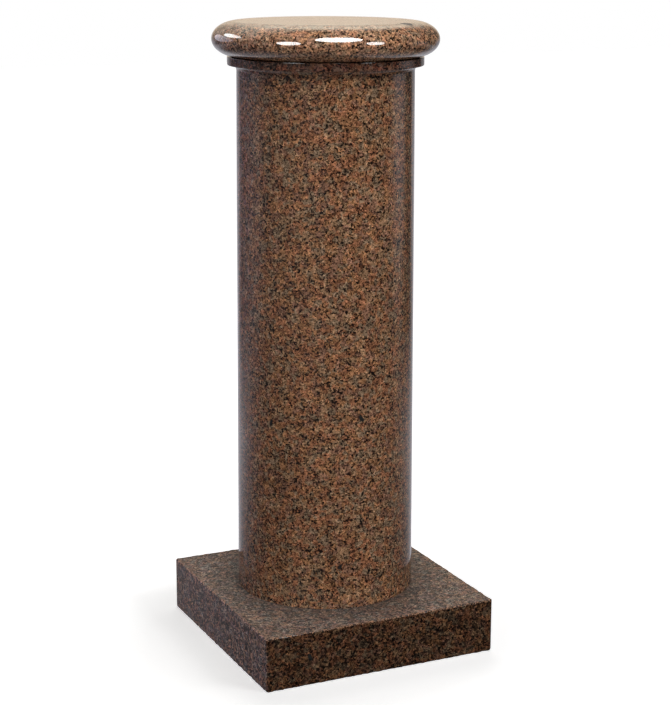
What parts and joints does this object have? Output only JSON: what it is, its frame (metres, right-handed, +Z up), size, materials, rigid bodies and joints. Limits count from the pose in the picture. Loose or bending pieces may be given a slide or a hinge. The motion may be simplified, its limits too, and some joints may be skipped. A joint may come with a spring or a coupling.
{
  "type": "granite memorial pillar",
  "caption": "Waist-high polished granite pillar: square plinth slab, slightly tapered round shaft with a turned collar, and a round bullnosed cap with a flat top.",
  "frame": {"origin": "middle of the plinth's underside, where the pillar meets the ground", "axes": "+Z up along the shaft, +X and +Y square to the plinth's sides"},
  "size_m": [0.4, 0.4, 1.01],
  "materials": {
    "polished_granite": "polished",
    "honed_granite": "honed"
  },
  "bodies": {
    "root": {"plinth": "honed_granite", "shaft": "polished_granite", "cap": "polished_granite"}
  },
  "joints": []
}
